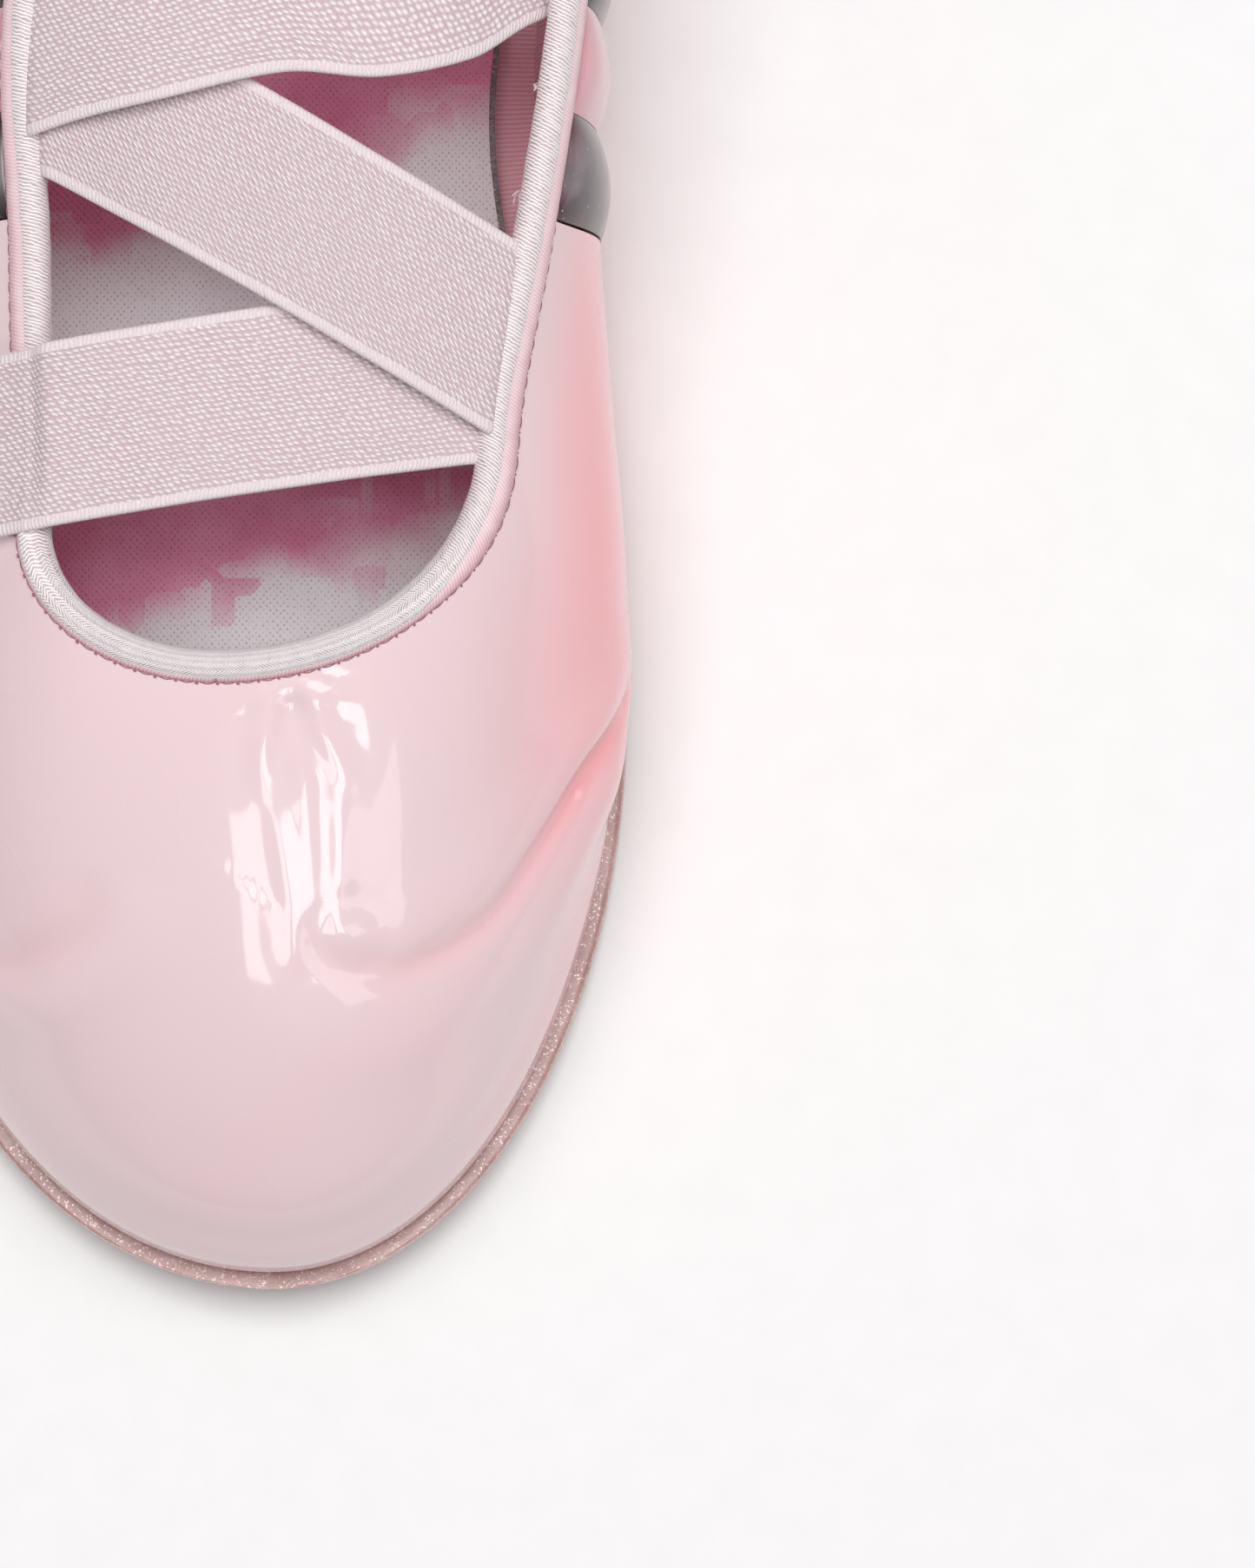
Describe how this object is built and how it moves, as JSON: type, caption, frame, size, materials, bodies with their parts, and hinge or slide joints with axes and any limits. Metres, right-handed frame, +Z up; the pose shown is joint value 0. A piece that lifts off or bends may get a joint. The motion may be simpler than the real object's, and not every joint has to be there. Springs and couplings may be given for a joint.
{
  "type": "ballet slipper",
  "caption": "Low round-toed ballet slipper with a glossy moulded upper, a bubble collar round the heel, crossed elastic straps and a loose sockliner.",
  "frame": {"origin": "on the ground under the middle of the slipper's bounding box", "axes": "+Z up, toe towards -Y, heel towards +Y, inner (big toe) side towards +X"},
  "size_m": [0.0939, 0.2545, 0.0624],
  "materials": {
    "outsole": "glossy translucent, glitter filled",
    "foam": "open foam",
    "steel": "plain",
    "board": "fibre board",
    "knit_cover": "printed knit",
    "skin": "high gloss patent",
    "smoke": "translucent smoke",
    "lining": "fine rib",
    "cord": "twisted",
    "satin_tape": "ribbed satin",
    "thread": "plain",
    "elastic": "woven"
  },
  "bodies": {
    "shoe": {"outsole": "outsole", "bottom_filler": "foam", "shank": "steel", "insole_board": "board", "vamp_skin": "skin", "toe_puff": "board", "vamp_padding": "foam", "vamp_lining": "lining", "quarter_skin": "skin", "heel_counter": "board", "quarter_padding": "foam", "quarter_lining": "lining", "topline_cord": "cord", "topline_binding": "satin_tape", "topline_thread": "thread", "front_strap_outer_end": "elastic", "front_strap_inner_end": "elastic", "middle_strap_outer_end": "elastic", "middle_strap_inner_end": "elastic", "rear_strap_outer_end": "elastic", "rear_strap_inner_end": "elastic", "bubble_01": "smoke", "bubble_02": "skin", "bubble_03": "smoke", "bubble_04": "skin", "bubble_05": "smoke", "bubble_06": "skin", "bubble_07": "smoke", "bubble_08": "skin", "bubble_09": "smoke", "bubble_10": "skin", "bubble_11": "smoke", "bubble_12": "skin", "bubble_13": "smoke", "bubble_14": "skin", "bubble_15": "smoke", "bubble_16": "skin", "bubble_17": "smoke", "bubble_18": "skin", "bubble_19": "smoke", "bubble_20": "skin", "bubble_21": "smoke", "bubble_22": "skin", "bubble_23": "smoke"},
    "sockliner": {"sockliner_foam": "foam", "sockliner_cover": "knit_cover"},
    "front_elastic": {"front_strap": "elastic"},
    "middle_elastic": {"middle_strap": "elastic"},
    "rear_elastic": {"rear_strap": "elastic"}
  },
  "joints": [
    {"name": "sockliner_lift", "type": "hinge", "parent": "shoe", "child": "sockliner", "pos_m": [0.00315, -0.11787, 0.01058], "axis": [1, 0, 0], "range_deg": [0, 8]},
    {"name": "rear_strap_lift", "type": "slide", "parent": "shoe", "child": "rear_elastic", "axis": [0, 0, 1], "range_m": [0, 0.016], "stiffness_N_per_m": 60},
    {"name": "middle_strap_lift", "type": "slide", "parent": "shoe", "child": "middle_elastic", "axis": [0, 0, 1], "range_m": [0, 0.0128], "stiffness_N_per_m": 60},
    {"name": "front_strap_lift", "type": "slide", "parent": "shoe", "child": "front_elastic", "axis": [0, 0, 1], "range_m": [0, 0.0096], "stiffness_N_per_m": 60}
  ],
  "couplings": [
    {"joint": "middle_strap_lift", "follows": "rear_strap_lift", "ratio": 0.8},
    {"joint": "front_strap_lift", "follows": "rear_strap_lift", "ratio": 0.6}
  ]
}
